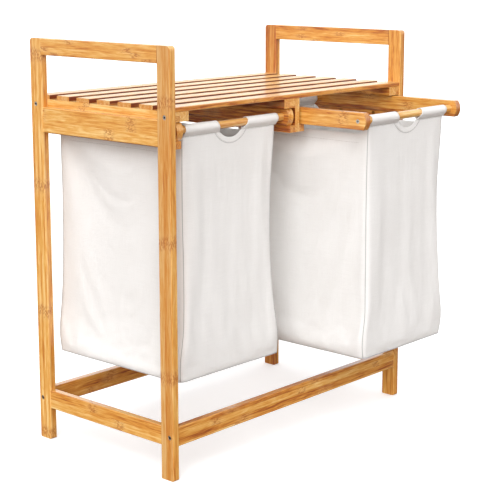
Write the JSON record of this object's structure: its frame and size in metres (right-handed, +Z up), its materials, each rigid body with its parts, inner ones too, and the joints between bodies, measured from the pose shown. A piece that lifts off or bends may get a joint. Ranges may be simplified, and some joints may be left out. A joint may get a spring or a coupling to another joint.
{
  "type": "two-bag laundry sorter",
  "caption": "Slatted bamboo stand with raised handle bars and pull-out frames from which open cloth laundry bags hang; one frame is left pulled forward.",
  "frame": {"origin": "on the floor, in the middle of the bounding box, which includes the right bag frame where it is left pulled out", "axes": "+X to the right seen from the front, the front and the pull-out direction face -Y, +Z up"},
  "size_m": [0.64, 0.4876, 0.73],
  "materials": {
    "bamboo": "satin clear lacquer over laminated bamboo strips",
    "canvas": "matte plain-weave cotton canvas, off-white",
    "bright_steel": "zinc-plated screws and hexagon socket bolts"
  },
  "bodies": {
    "stand": {"leg_front_left": "bamboo", "leg_rear_left": "bamboo", "leg_front_right": "bamboo", "leg_rear_right": "bamboo", "handle_bar_left": "bamboo", "handle_bar_right": "bamboo", "side_apron_left": "bamboo", "side_apron_right": "bamboo", "side_stretcher_left": "bamboo", "side_stretcher_right": "bamboo", "front_stretcher": "bamboo", "rear_stretcher": "bamboo", "shelf_slat_1": "bamboo", "shelf_slat_2": "bamboo", "shelf_slat_3": "bamboo", "shelf_slat_4": "bamboo", "shelf_slat_5": "bamboo", "shelf_slat_6": "bamboo", "shelf_slat_7": "bamboo", "shelf_batten_left": "bamboo", "shelf_batten_centre": "bamboo", "shelf_batten_right": "bamboo", "centre_divider": "bamboo", "runner_left": "bamboo", "runner_centre_left": "bamboo", "runner_centre_right": "bamboo", "runner_right": "bamboo", "frame_pins": "bamboo", "leg_bolts": "bright_steel", "slat_screws": "bright_steel", "runner_screws": "bright_steel"},
    "bag_frame_left": {"left_rail_outer": "bamboo", "left_rail_inner": "bamboo", "left_dowel_front": "bamboo", "left_dowel_rear": "bamboo", "left_rail_screws": "bright_steel", "left_bag": "canvas"},
    "bag_frame_right": {"right_rail_inner": "bamboo", "right_rail_outer": "bamboo", "right_dowel_front": "bamboo", "right_dowel_rear": "bamboo", "right_rail_screws": "bright_steel", "right_bag": "canvas"}
  },
  "joints": [
    {"name": "left_bag_slide", "type": "slide", "parent": "stand", "child": "bag_frame_left", "axis": [0, -1, 0], "range_m": [0, 0.2]},
    {"name": "right_bag_slide", "type": "slide", "parent": "stand", "child": "bag_frame_right", "axis": [0, -1, 0], "range_m": [-0.144, 0.056]}
  ]
}
